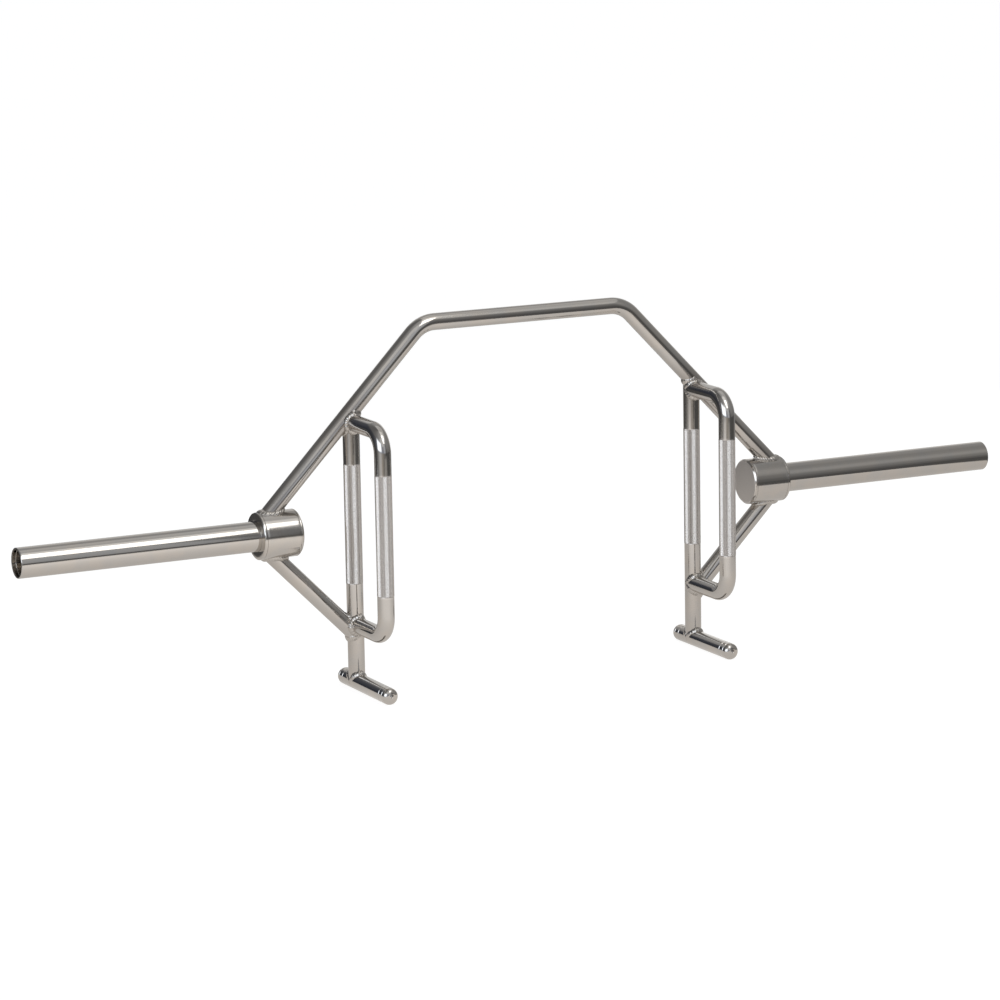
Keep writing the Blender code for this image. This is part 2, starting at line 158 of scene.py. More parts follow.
def skin(name, rings, knurl_rows=None, is_tube=False):
    """A mesh through rings of points, closed by flat ends, or by joining its last ring to its first one.

    Its lay attribute gives each point's distance along the piece and its place across it."""
    columns = len(rings[0])
    knurl_rows = knurl_rows or [None] * len(rings)
    vertices, lay, travelled = [], [], 0.0
    for before, ring in zip([rings[0], *rings], rings):
        travelled += (ring[0] - before[0]).length
        radius = (ring[0] - ring[columns // 2]).length / 2
        for column, point in enumerate(ring):
            angle = 2 * math.pi * column / columns
            vertices.append(point)
            lay.append((travelled, radius * math.cos(angle), radius * math.sin(angle)))
    faces, smooth = [], []
    for row in range(len(rings) if is_tube else len(rings) - 1):
        upper = (row + 1) % len(rings)
        is_knurled = knurl_rows[row] is not None and knurl_rows[upper] is not None
        for column in range(columns):
            onward = (column + 1) % columns
            low, low_next = row * columns + column, row * columns + onward
            high, high_next = upper * columns + column, upper * columns + onward
            if not is_knurled:
                faces.append((low, low_next, high_next, high))
            elif (knurl_rows[row] + column) % 2:
                faces += [(low, low_next, high), (low_next, high_next, high)]
            else:
                faces += [(low, low_next, high_next), (low, high_next, high)]
            smooth += [not is_knurled] * (len(faces) - len(smooth))
    for ring, first in () if is_tube else ((rings[0], 0), (rings[-1], len(vertices) - columns)):
        lay.append((lay[first][0], 0.0, 0.0))
        vertices.append(sum(ring, Vector()) / columns)
        for column in range(columns):
            faces.append((len(vertices) - 1, first + column, first + (column + 1) % columns))
            smooth.append(True)
    mesh = bpy.data.meshes.new(name)
    mesh.from_pydata(vertices, [], faces)
    lay_values = [value for spot in lay for value in spot]
    mesh.attributes.new("lay", "FLOAT_VECTOR", "POINT").data.foreach_set("vector", lay_values)
    knurled = [float(row is not None) for row in knurl_rows for _ in range(columns)]
    knurled += [0.0] * (len(vertices) - len(knurled))
    mark_points(mesh, "knurled", knurled)
    body = bmesh.new()
    body.from_mesh(mesh)
    bmesh.ops.recalc_face_normals(body, faces=body.faces)
    body.to_mesh(mesh)
    body.free()
    mesh.set_sharp_from_angle(angle=SMOOTH_ANGLE)
    mesh.polygons.foreach_set("use_smooth", smooth)
    item = bpy.data.objects.new(name, mesh)
    bpy.context.scene.collection.objects.link(item)
    return item


KNURL_LENGTH = 0.200
KNURL_ROWS = 142
KNURL_PEAK = 0.00024
KNURL_VALLEY = 0.00020
KNURL_MARGIN = 0.001


def stations(path, reaches, knurl_middle):
    """Points along a path with the way that it runs there, and the row of the knurling where there is any."""
    lengths = [0.0]
    for before, after in zip(path, path[1:]):
        lengths.append(lengths[-1] + (after - before).length)
    first, last = reaches[0], lengths[-1] - reaches[1]

    def point_at(distance):
        segment = min(max(bisect.bisect_right(lengths, distance) - 1, 0), len(path) - 2)
        share = (distance - lengths[segment]) / (lengths[segment + 1] - lengths[segment])
        return path[segment].lerp(path[segment + 1], share)

    wanted = [(first, None), (last, None)]
    for start, end in zip(lengths, lengths[1:]):
        count = max(1, math.ceil((end - start) / STATION_SPACING))
        wanted += [(start + (end - start) * step / count, None) for step in range(count)]
    wanted = [(distance, row) for distance, row in wanted if first <= distance <= last]
    if knurl_middle:
        start, end = knurl_middle - KNURL_LENGTH / 2, knurl_middle + KNURL_LENGTH / 2
        wanted = [(d, row) for d, row in wanted if not start - KNURL_MARGIN < d < end + KNURL_MARGIN]
        wanted += [(start + KNURL_LENGTH * row / KNURL_ROWS, row) for row in range(KNURL_ROWS + 1)]
    found, before = [], -1.0
    for distance, row in sorted(wanted, key=lambda pair: pair[0]):
        if distance - before > LEAST_SPACING:
            way = point_at(distance + WAY_REACH) - point_at(distance - WAY_REACH)
            found.append((point_at(distance), way.normalized(), row))
            before = distance
    return found


def ring_radii(row):
    """The bar's radius at each column of a ring, which rises and falls by turns where it is knurled."""
    if row is None:
        return [BAR_RADIUS] * BAR_COLUMNS
    fade = min(row, KNURL_ROWS - row, 1)
    heights = (-KNURL_VALLEY * fade, KNURL_PEAK * fade)
    return [BAR_RADIUS + heights[(row + column) % 2] for column in range(BAR_COLUMNS)]


# Each welded end by its bead's name, as the bar's axis, the way it runs and the points where it meets others
seams = {}


def coped_bar(name, path, sideways, start_rods, end_rods, knurl_middle=None):
    """A round bar along a path, with its ends coped to the bars that they are welded to."""
    ways = (path[0] - path[1]).normalized(), (path[-1] - path[-2]).normalized()
    reaches = []
    for way, rods in zip(ways, (start_rods, end_rods)):
        depths = [(rod.radius + BAR_RADIUS) / rod.along.cross(way).length for rod in rods]
        reaches.append(max(depths) + COPE_MARGIN)
    found = stations(path, reaches, knurl_middle)
    rings = [bar_ring(centre, way, sideways, ring_radii(row)) for centre, way, row in found]
    start = [point for point, _ in cope(rings[0], ways[0], start_rods)]
    end = [point for point, _ in cope(rings[-1], ways[1], end_rods)]
    ends_between = [None] * COPE_STEPS
    knurl_rows = ends_between + [row for _, _, row in found] + ends_between
    for which, (centre, _, _), way, rods in zip("ab", (found[0], found[-1]), ways, (start_rods, end_rods)):
        fine_ring = bar_ring(centre, way, sideways, [BAR_RADIUS] * SEAM_POINTS)
        axis = Rod(centre - way * AXIS_REACH, centre + way * AXIS_REACH, BAR_RADIUS)
        seams[name + "_weld_" + which] = (axis, way, cope(fine_ring, way, rods))
    rings = [start, *rings_between(start, rings[0]), *rings, *rings_between(rings[-1], end), end]
    return skin(name, rings, knurl_rows)


NOISE_ROUGHNESS = 0.55


class Shade:
    """An output of a tree of nodes that Python expressions can work with."""

    def __init__(self, tree, socket=None):
        self.tree, self.socket = tree, socket

    def node(self, kind, settings, inputs, output=0):
        """A new node from its settings, the values or links of its sockets, and the output that is wanted."""
        made = self.tree.nodes.new("ShaderNode" + kind)
        for setting, value in settings.items():
            if setting == "stops":
                for stop, (position, colour) in enumerate(value):
                    elements = made.color_ramp.elements
                    element = elements[stop] if stop < 2 else elements.new(position)
                    element.position, element.color = position, (*colour, 1.0)
            else:
                setattr(made, setting, value)
        for socket, value in inputs.items():
            if isinstance(value, Shade):
                self.tree.links.new(value.socket, made.inputs[socket])
            else:
                made.inputs[socket].default_value = value
        return Shade(self.tree, made.outputs[output])

    def math(self, operation, first, second=0.0):
        return self.node("Math", {"operation": operation}, {0: first, 1: second})

    def __add__(self, other):
        return self.math("ADD", self, other)

    def __sub__(self, other):
        return self.math("SUBTRACT", self, other)

    def __rsub__(self, other):
        return self.math("SUBTRACT", other, self)

    def __mul__(self, other):
        return self.math("MULTIPLY", self, other)

    def __truediv__(self, other):
        return self.math("DIVIDE", self, other)

    __radd__, __rmul__ = __add__, __mul__

    def ramp(self, low, high, to_low=0.0, to_high=1.0):
        """Carry values smoothly from one range to another, and hold them at its ends."""
        settings = {"interpolation_type": "SMOOTHSTEP", "clamp": True}
        return self.node("MapRange", settings, {0: self, 1: low, 2: high, 3: to_low, 4: to_high})

    def blend(self, first, second):
        """Mix two colours by this value. Of a mix node's sockets 6 and 7 are the colours and 2 the result."""
        settings = {"data_type": "RGBA", "clamp_factor": True}
        return self.node("Mix", settings, {0: self, 6: first, 7: second}, output=2)

    def noise(self, where, scale, detail=2.0):
        values = {"Vector": where, "Scale": scale, "Detail": detail, "Roughness": NOISE_ROUGHNESS}
        return self.node("TexNoise", {}, values)

    def attribute(self, name):
        """What mark_points has stored on the mesh under this name, or 0 where there is nothing."""
        return self.node("Attribute", {"attribute_name": name}, {}, output="Fac")


def new_shader(name):
    """A new material with its shader, and a base to hang its nodes on."""
    material = bpy.data.materials.new(name)
    material.use_nodes = True
    return material, material.node_tree.nodes["Principled BSDF"], Shade(material.node_tree)


def link_surface(material, shader, **values):
    for socket, value in values.items():
        material.node_tree.links.new(value.socket, shader.inputs[socket.replace("_", " ")])


STEEL_WARM = (0.575, 0.540, 0.500, 1.0)
STEEL_COOL = (0.545, 0.525, 0.500, 1.0)
STEEL_KNURLED = (0.650, 0.620, 0.590, 1.0)
STEEL_BRUSHED = (0.720, 0.680, 0.640, 1.0)
# The duller grey painted beside the welds is partly temper and partly painted shade.
STEEL_TEMPERED_AND_SHADED = (0.400, 0.370, 0.345, 1.0)
HEAT_STRAW = (0.340, 0.250, 0.170, 1.0)
KNURL_ROUGHNESS = 0.10
BRUSHED_ROUGHNESS = 0.42
TEMPER_AND_SHADE_ROUGHNESS = 0.14
TEMPER_AND_SHADE_LEAST = 0.7
TEMPER_AND_SHADE_SMEAR = 0.6
SCORCH_ROUGHNESS = 0.10
SCORCH_LEAST = 0.35
SCORCH_SHARE = 0.75
ROUND_LINE_SCALE = 60.0
WAVE_SCALES = (14.0, 45.0, 45.0)
CLOUD_SCALE = 34.0
CLOUD_RANGE = (0.35, 0.65)
SMEAR_SCALE = 150.0


def steel_finish(name, roughness, roughness_swing, line_pitch, line_depth, wave_depth, tints=None):
    """Bright steel: fine lines round the piece, a cloudy polish, straw by its welds, and grey that is partly
    painted shade.
    """
    warm, cool = tints or (STEEL_WARM, STEEL_COOL)
    line_scales = (1 / line_pitch, ROUND_LINE_SCALE, ROUND_LINE_SCALE)
    material, shader, base = new_shader(name)
    lay = base.node("Attribute", {"attribute_name": "lay"}, {}, output="Vector")
    stretched = base.node("VectorMath", {"operation": "MULTIPLY"}, {0: lay, 1: line_scales})
    drawn_out = base.node("VectorMath", {"operation": "MULTIPLY"}, {0: lay, 1: WAVE_SCALES})
    lines = base.noise(stretched, 1.0)
    waves = base.noise(drawn_out, 1.0, detail=1.0)
    clouds = base.noise(lay, CLOUD_SCALE, detail=3.0)
    smears = base.noise(lay, SMEAR_SCALE)
    knurled, brushed = base.attribute("knurled"), base.attribute("brushed")
    temper_and_shade, heat = base.attribute("temper_and_shade"), base.attribute("heat")
    scorch = (heat * (SCORCH_LEAST + smears)).ramp(0.0, 1.0)
    tint = clouds.ramp(*CLOUD_RANGE).blend(warm, cool)
    # The duller grey is temper and also painted shade, which is stronger on the upper half of the frame.
    tint = (temper_and_shade * (TEMPER_AND_SHADE_LEAST + smears * TEMPER_AND_SHADE_SMEAR)).blend(tint, STEEL_TEMPERED_AND_SHADED)
    tint = brushed.blend(knurled.blend(tint, STEEL_KNURLED), STEEL_BRUSHED)
    colour = (scorch * SCORCH_SHARE).blend(tint, HEAT_STRAW)
    polish = roughness + (clouds - 0.5) * roughness_swing + (lines - 0.5) * roughness_swing
    polish = polish + scorch * SCORCH_ROUGHNESS + temper_and_shade * TEMPER_AND_SHADE_ROUGHNESS
    polish = polish + brushed * BRUSHED_ROUGHNESS + knurled * KNURL_ROUGHNESS
    height = lines * line_depth + waves * wave_depth
    bump = base.node("Bump", {}, {"Strength": 1.0, "Distance": 1.0, "Height": height})
    link_surface(material, shader, Base_Color=colour, Roughness=polish, Normal=bump)
    shader.inputs["Metallic"].default_value = 1.0
    return material


bar_steel = steel_finish("bar_steel", roughness=0.10, roughness_swing=0.05, line_pitch=0.0007,
                         line_depth=0.0000010, wave_depth=0.00006)


def dress(item, material, body, *nodes):
    """Give a finished piece its material and its body, and say which solids it stands for."""
    item.data.materials.append(material)
    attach(item, body)
    if nodes:
        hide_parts(*nodes)


drum_rods, leg_rods = {}, {}
for name, side in SIDES:
    drum_start, drum_end = (place(side, DRUM_INNER_X + x, 0, SLEEVE_HEIGHT) for x in (0.0, DRUM_LENGTH))
    drum_rods[name] = Rod(drum_start, drum_end, DRUM_RADIUS)
    corner, landing = place(side, BOW_CORNER_X, 0, bow_top), place(side, leg_end_x, 0, SLEEVE_HEIGHT)
    leg_rods[name] = Rod(corner, landing, BAR_RADIUS)
corners = [place(side, x, 0, z) for side, x, z in (
    (-1, leg_end_x, SLEEVE_HEIGHT), (-1, BOW_CORNER_X, bow_top),
    (1, BOW_CORNER_X, bow_top), (1, leg_end_x, SLEEVE_HEIGHT))]
bow_path = bent_path(corners, BOW_BEND_RADIUS)
bow = coped_bar("bow", bow_path, Vector((0, 1, 0)), [drum_rods["left"]], [drum_rods["right"]])
dress(bow, bar_steel, "frame", "bow_tube")

# The posts: straight bars of the same steel that stand on the feet and carry the bow. The middle 200 mm of
# each is rolled between knurling wheels into fine diamonds, and is the low handle. Both ends are welded.
FOOT_HEIGHT = BAR_RADIUS
FOOT_FRONT = 0.138
FOOT_BACK = 0.054
GRIP_MIDDLE = 0.2795

post_rods, foot_rods = {}, {}
welded = [bow]
for name, side in SIDES:
    bottom, top = (place(side, POST_X, 0, z) for z in (FOOT_HEIGHT, POST_TOP))
    front, back = (place(side, POST_X, y, FOOT_HEIGHT) for y in (-FOOT_FRONT, FOOT_BACK))
    post_rods[name] = Rod(bottom, top, BAR_RADIUS)
    foot_rods[name] = Rod(front, back, BAR_RADIUS)
    post = coped_bar(name + "_low_handle", [bottom, top], Vector((1, 0, 0)), [foot_rods[name]],
                     [leg_rods[name]], knurl_middle=GRIP_MIDDLE - FOOT_HEIGHT)
    dress(post, bar_steel, "frame", name + "_post")
    welded.append(post)

# The raised grips: one bar each, bent twice into a C that stands in front of its post. Its upright part has
# the same knurling and is the high handle. Both arms are coped to the post and to what is welded beside them.
LOWER_ARM = 0.110
UPPER_ARM = 0.449
GRIP_REACH = 0.122
GRIP_BEND_RADIUS = 0.036
BRACE_FOOT = 0.0935
BRACE_LANDING_X = 0.460
brace_slope = (SLEEVE_HEIGHT - DRUM_RADIUS - BRACE_FOOT) / (BRACE_LANDING_X - POST_X)
brace_end_x = BRACE_LANDING_X + DRUM_RADIUS / brace_slope

brace_rods = {}
for name, side in SIDES:
    brace_low, brace_high = place(side, POST_X, 0, BRACE_FOOT), place(side, brace_end_x, 0, SLEEVE_HEIGHT)
    brace_rods[name] = Rod(brace_low, brace_high, BAR_RADIUS)
    corners = [place(side, POST_X, y, z) for y, z in (
        (0, LOWER_ARM), (-GRIP_REACH, LOWER_ARM), (-GRIP_REACH, UPPER_ARM), (0, UPPER_ARM))]
    path = bent_path(corners, GRIP_BEND_RADIUS)
    middle = sum((after - before).length for before, after in zip(path, path[1:])) / 2
    grip = coped_bar(name + "_high_handle", path, Vector((1, 0, 0)), [post_rods[name], brace_rods[name]],
                     [post_rods[name], leg_rods[name]], knurl_middle=middle)
    dress(grip, bar_steel, "frame", name + "_raised_grip")
    welded.append(grip)

# The braces: straight bars from the underside of the drums down to the posts, coped and welded at both ends.
# Each closes a triangle with its post and the bow's leg, which keeps the loaded sleeve from drooping.
for name, side in SIDES:
    path = [place(side, POST_X, 0, BRACE_FOOT), place(side, brace_end_x, 0, SLEEVE_HEIGHT)]
    brace = coped_bar(name + "_strut", path, Vector((0, 1, 0)), [post_rods[name]], [drum_rods[name]])
    dress(brace, bar_steel, "frame", name + "_brace")
    welded.append(brace)

# The feet: bars turned with rounded ends, two grooves near each end and a centre mark in each end face. Each
# lies fore and aft under its post, which is welded to it, and holds the whole bar up for loading.
FOOT_ROUNDING = 0.0095
FOOT_CROWN = 0.001
FOOT_ROUND_STEPS = 14
FOOT_RINGS = 30
FOOT_FIRST_RING = 0.1104
FOOT_RING_SPACING = 0.004736
CROWN_SHARE = 0.6
GROOVE_WIDTH = 0.0020
GROOVE_DEPTH = 0.0009
GROOVE_INSET = 0.0118
GROOVE_PITCH = 0.0117
GROOVE_PROFILE = ((0.0, 0.0), (0.45, 0.22), (0.9, 0.44), (0.9, 0.56), (0.45, 0.78), (0.0, 1.0))
CENTRE_MARK_RADIUS = 0.0013
CENTRE_MARK_DEPTH = 0.0010
CENTRE_MARK_EDGE = 0.0001
CENTRE_POINT = 0.0001
EASE_LIMIT = 0.4
EASE_SHARES = (0.0, 0.33, 0.67, 1.0)
TURNED_COLUMNS = 128


def eased(outline, size, is_closed=False):
    """An outline with its corners broken, by at most two fifths of the shorter side at each."""
    result = []
    for index, corner in enumerate(outline):
        if not is_closed and index in (0, len(outline) - 1):
            result.append(corner)
            continue
        before, here, after = (Vector(outline[i % len(outline)]) for i in (index - 1, index, index + 1))
        sides = (before - here).length, (after - here).length
        cut = min(size, sides[0] * EASE_LIMIT, sides[1] * EASE_LIMIT)
        first, last = here.lerp(before, cut / sides[0]), here.lerp(after, cut / sides[1])
        for share in EASE_SHARES:
            result.append(tuple(first.lerp(here, share).lerp(here.lerp(last, share), share)))
    return result


def turned(name, outline, centre, axis, sideways, is_tube=False):
    """A lathe-turned piece: radii and distances along the axis from the centre, carried round it."""
    rings = []
    for radius, along in outline:
        rings.append(bar_ring(centre + axis * along, axis, sideways, [radius] * TURNED_COLUMNS))
    return skin(name, rings, is_tube=is_tube)


def foot_end(reach):
    """One end of a foot's outline, from its centre mark over the rounded tip and past the grooves."""
    flat = BAR_RADIUS - FOOT_ROUNDING
    shoulder = reach - FOOT_CROWN - FOOT_ROUNDING
    outline = [(CENTRE_POINT, reach - CENTRE_MARK_DEPTH), (CENTRE_MARK_RADIUS, reach - CENTRE_MARK_EDGE)]
    outline.append((flat * CROWN_SHARE, reach - FOOT_CROWN * CROWN_SHARE ** 2))
    for step in range(FOOT_ROUND_STEPS + 1):
        turn = math.pi / 2 * (1 - step / FOOT_ROUND_STEPS)
        outline.append((flat + FOOT_ROUNDING * math.cos(turn), shoulder + FOOT_ROUNDING * math.sin(turn)))
    for edge in (reach - GROOVE_INSET, reach - GROOVE_INSET - GROOVE_PITCH):
        for depth, share in GROOVE_PROFILE:
            outline.append((BAR_RADIUS - GROOVE_DEPTH * depth, edge - GROOVE_WIDTH * share))
    return outline


foot_outline = foot_end(FOOT_FRONT)
foot_outline += [(BAR_RADIUS, FOOT_FIRST_RING - FOOT_RING_SPACING * step) for step in range(FOOT_RINGS)]
foot_outline += [(radius, -along) for radius, along in reversed(foot_end(FOOT_BACK))]
for name, side in SIDES:
    centre = place(side, POST_X, 0, FOOT_HEIGHT)
    foot = turned(name + "_foot", foot_outline, centre, Vector((0, -1, 0)), Vector((1, 0, 0)))
    dress(foot, bar_steel, "frame", name + "_foot_bar")
    welded.append(foot)

# The drums: a turned shell with a plate pressed into each end, closed towards the lifter and open where the
# sleeve comes out. The bow lands on top of the shell and the brace under it, and both are welded to it.
PLATE_THICKNESS = 0.005
CLOSED_CHAMFER = 0.0028
OPEN_CHAMFER = 0.0014
PLATE_SPIGOT = 0.002
SHELL_GAP = 0.0003
SHELL_BORE = 0.033
SPIGOT_RADIUS = 0.0327
OUTER_BORE = 0.0252
PLATE_MIDDLE = 0.001
FACE_TOLERANCE = 0.0001
SHELL_RINGS = 14
EDGE_BREAK = 0.0002

drum_steel = steel_finish("drum_steel", roughness=0.12, roughness_swing=0.07, line_pitch=0.0005,
                          line_depth=0.0000025, wave_depth=0.00003)
shell_start, shell_end = PLATE_THICKNESS + SHELL_GAP, DRUM_LENGTH - PLATE_THICKNESS - SHELL_GAP
shell_step = (shell_end - shell_start) / SHELL_RINGS
shell_outline = [(DRUM_RADIUS, shell_start + shell_step * step) for step in range(SHELL_RINGS + 1)]
shell_outline += [(SHELL_BORE, shell_end), (SHELL_BORE, shell_start)]
closed_spigot, open_rim = PLATE_THICKNESS + PLATE_SPIGOT, DRUM_LENGTH - PLATE_THICKNESS
open_spigot = open_rim - PLATE_SPIGOT
closed_outline = [
    (PLATE_MIDDLE, 0.0), (DRUM_RADIUS - CLOSED_CHAMFER, 0.0), (DRUM_RADIUS, CLOSED_CHAMFER),
    (DRUM_RADIUS, PLATE_THICKNESS), (SPIGOT_RADIUS, PLATE_THICKNESS), (SPIGOT_RADIUS, closed_spigot),
    (PLATE_MIDDLE, closed_spigot)]
open_outline = [
    (DRUM_RADIUS - OPEN_CHAMFER, DRUM_LENGTH), (DRUM_RADIUS, DRUM_LENGTH - OPEN_CHAMFER),
    (DRUM_RADIUS, open_rim), (SPIGOT_RADIUS, open_rim), (SPIGOT_RADIUS, open_spigot),
    (OUTER_BORE, open_spigot), (OUTER_BORE, DRUM_LENGTH)]
shell_outline = eased(shell_outline, EDGE_BREAK, is_closed=True)
closed_outline = eased(closed_outline, EDGE_BREAK)
open_outline = eased(open_outline, EDGE_BREAK, is_closed=True)
inner_face = DRUM_INNER_X + FACE_TOLERANCE
for name, side in SIDES:
    lathe = place(side, DRUM_INNER_X, 0, SLEEVE_HEIGHT), Vector((side, 0, 0)), Vector((0, 0, 1))
    shell = turned(name + "_drum", shell_outline, *lathe, is_tube=True)
    dress(shell, drum_steel, "frame", name + "_hub_shell")
    closed = turned(name + "_closed_plate", closed_outline, *lathe)
    on_face = [float(abs(vertex.co.x) < inner_face) for vertex in closed.data.vertices]
    mark_points(closed.data, "brushed", on_face)
    dress(closed, drum_steel, "frame", name + "_hub_inner_plate")
    open_plate = turned(name + "_plate_stop", open_outline, *lathe, is_tube=True)
    dress(open_plate, drum_steel, "frame", name + "_hub_outer_plate")
    welded += [shell, closed, open_plate]

# The sleeves: smooth polished tube that plates slide on, open at the mouth, where a shallow recess is bored.
# Each turns in its drum on two bushes and is held there by a ring in a groove.
SLEEVE_RADIUS = 0.025
SLEEVE_BORE = 0.0215
SLEEVE_START = 0.0095
SLEEVE_END = 0.482
RECESS_RADIUS = 0.0225
RECESS_DEPTH = 0.007
MOUTH_CHAMFER = 0.0008
LAST_RING_INSET = 0.004
RING_GROOVE = ((0.0122, 0.0), (0.0122, 0.0015), (0.0148, 0.0015), (0.0148, 0.0))
SLEEVE_RINGS = 60

sleeve_steel = steel_finish("sleeve_steel", roughness=0.08, roughness_swing=0.03, line_pitch=0.0009,
                            line_depth=0.0000006, wave_depth=0.00003)
sleeve_step = (SLEEVE_END - LAST_RING_INSET - DRUM_LENGTH) / SLEEVE_RINGS
recess_floor = SLEEVE_END - RECESS_DEPTH
sleeve_outline = [(SLEEVE_RADIUS, SLEEVE_START)]
sleeve_outline += [(SLEEVE_RADIUS - depth, along) for along, depth in RING_GROOVE]
sleeve_outline += [(SLEEVE_RADIUS, DRUM_LENGTH + sleeve_step * step) for step in range(SLEEVE_RINGS + 1)]
sleeve_outline += [
    (SLEEVE_RADIUS, SLEEVE_END - MOUTH_CHAMFER), (SLEEVE_RADIUS - MOUTH_CHAMFER, SLEEVE_END),
    (RECESS_RADIUS, SLEEVE_END), (RECESS_RADIUS, recess_floor), (SLEEVE_BORE, recess_floor),
    (SLEEVE_BORE, SLEEVE_START)]
sleeve_outline = eased(sleeve_outline, EDGE_BREAK, is_closed=True)
for name, side in SIDES:
    lathe = place(side, DRUM_INNER_X, 0, SLEEVE_HEIGHT), Vector((side, 0, 0)), Vector((0, 0, 1))
    sleeve = turned(name + "_plate_sleeve", sleeve_outline, *lathe, is_tube=True)
    dress(sleeve, sleeve_steel, name + "_sleeve", name + "_sleeve")

# The weld beads: one closed run of filler round every joint of the frame, laid in small overlapping ripples
# and brushed bright. Beside each the steel keeps a narrow straw-coloured band from the heat. Further out the
# bars are painted a duller grey, which is partly temper from the heat and partly painted shade that grows
# stronger on the upper half of the frame.
WELD_LEG = 0.0054
WELD_CROWN = 0.0012
WELD_ROOT = 0.0010
WELD_SUNK = 0.0002
WELD_END_CLEARANCE = 0.003
RIPPLE_PITCH = 0.0046
RIPPLE_HEIGHT = 0.0004
RIPPLE_CURVE = 0.55
RIPPLE_BLUNTNESS = 0.6
TOE_BEAT = 0.12
SWAYS = ((0.12, 3, 1), (0.09, 7, 2))
SECTION_STEPS = 8
BEAD_BRIGHT = (0.540, 0.510, 0.475, 1.0)
HEAT_START = 0.0055
HEAT_END = 0.0140
# The duller grey further out is partly temper and partly painted shade, which rises from 0.20 m to 0.30 m up.
TEMPER_AND_SHADE_END = 0.0600
TEMPER_AND_SHADE_LOW, TEMPER_AND_SHADE_HIGH = 0.15, 0.55
SHADE_RISE_START, SHADE_RISE_END = 0.20, 0.30


def square_to(direction, normal):
    """The unit vector closest to a direction that is square to a normal."""
    return (direction - normal * direction.dot(normal)).normalized()


def on_rod(rod, point):
    """The rod's surface just under a point, kept clear of the rod's ends."""
    along = (point - rod.start).dot(rod.along)
    kept = min(max(along, WELD_END_CLEARANCE), rod.length - WELD_END_CLEARANCE)
    return rod.surface(point + rod.along * (kept - along), WELD_SUNK)


def weld_bead(name, axis, way, met, number):
    """Filler along the line where a bar meets others, with its heat on its own toes."""
    points = [point for point, _ in met]
    lengths = [0.0]
    for before, after in zip(points, points[1:] + points[:1]):
        lengths.append(lengths[-1] + (after - before).length)
    ripples = round(lengths[-1] / RIPPLE_PITCH)
    sections, toes = [], []
    for (point, rod), travelled in zip(met, lengths):
        turn = travelled / lengths[-1]
        own, other = axis.away(point).normalized(), rod.away(point).normalized()
        outward = (own + other).normalized()
        sway = 1.0
        for amount, waves, shift in SWAYS:
            sway += amount * math.sin(2 * math.pi * waves * turn + shift * number)
        beat = (ripples * turn) % 1.0
        leg = WELD_LEG * sway * (1 + TOE_BEAT * (4 * beat * (1 - beat) - 0.5))
        first = axis.surface(point + square_to(other - way, own) * leg, WELD_SUNK)
        last = on_rod(rod, point + square_to(own + way, other) * leg)
        middle = first.lerp(last, 0.5)
        crown = point + outward * (max((middle - point).dot(outward), 0.0) + WELD_CROWN * sway)
        control = crown * 2 - middle
        section = []
        for step in range(SECTION_STEPS):
            share = step / (SECTION_STEPS - 1)
            beat = (ripples * turn + RIPPLE_CURVE * (2 * share - 1) ** 2) % 1.0
            lift = RIPPLE_HEIGHT * (4 * beat * (1 - beat)) ** RIPPLE_BLUNTNESS * math.sin(math.pi * share)
            curve = first.lerp(control, share).lerp(control.lerp(last, share), share)
            section.append(curve + outward * lift)
            toes.append(abs(2 * share - 1) ** 3)
        section.append(point - outward * WELD_ROOT)
        toes.append(1.0)
        sections.append(section)
    bead = skin(name, sections, is_tube=True)
    mark_points(bead.data, "heat", toes)
    return bead


bead_steel = steel_finish("bead_steel", roughness=0.27, roughness_swing=0.10, line_pitch=0.0010,
                          line_depth=0.0000030, wave_depth=0.0, tints=(BEAD_BRIGHT, BEAD_BRIGHT))
seam_points = [point for _, _, met in seams.values() for point, _ in met]
near_seams = kdtree.KDTree(len(seam_points))
for index, point in enumerate(seam_points):
    near_seams.insert(point, index)
near_seams.balance()


def eased_share(value, low, high):
    """How far a value has come from one limit to another, from 0 to 1, with soft ends."""
    share = min(max((value - low) / (high - low), 0.0), 1.0)
    return share * share * (3 - 2 * share)


for piece in welded:
    heat, temper_and_shade = [], []
    for vertex in piece.data.vertices:
        gap = near_seams.find(vertex.co)[2]
        heat.append(eased_share(gap, HEAT_END, HEAT_START))
        # Painted shade: the duller grey grows stronger with height on the upper half of the frame.
        upper_shade = eased_share(vertex.co.z, SHADE_RISE_START, SHADE_RISE_END)
        strength = TEMPER_AND_SHADE_LOW + (TEMPER_AND_SHADE_HIGH - TEMPER_AND_SHADE_LOW) * upper_shade
        temper_and_shade.append(eased_share(gap, TEMPER_AND_SHADE_END, HEAT_START) * strength)
    mark_points(piece.data, "heat", heat)
    if piece.data.materials[0] == bar_steel:
        mark_points(piece.data, "temper_and_shade", temper_and_shade)
for number, (name, (axis, way, met)) in enumerate(seams.items()):
    dress(weld_bead(name, axis, way, met, number), bead_steel, "frame")

# The running parts, closed up inside the drums: bearing bronze bushes and washers, a black oiled spring ring
# and a plain thrust pad. Their solids are right as they are and only take their finish here.
MARKS_PER_CLOUD = 12
MARK_ROUGHNESS_SWING = 0.1
PLAIN_CLOUD_RANGE = (0.3, 0.7)


def plain_finish(name, light, dark, metallic, roughness, scale, depth):
    """A machined or moulded surface in two close colours, with fine marks in it."""
    material, shader, base = new_shader(name)
    spot = base.node("TexCoord", {}, {}, output="Object")
    marks, clouds = base.noise(spot, scale), base.noise(spot, scale / MARKS_PER_CLOUD)
    colour = clouds.ramp(*PLAIN_CLOUD_RANGE).blend((*light, 1.0), (*dark, 1.0))
    polish = roughness + (marks - 0.5) * MARK_ROUGHNESS_SWING
    bump = base.node("Bump", {}, {"Strength": 1.0, "Distance": 1.0, "Height": marks * depth})
    link_surface(material, shader, Base_Color=colour, Roughness=polish, Normal=bump)
    shader.inputs["Metallic"].default_value = metallic
    return material


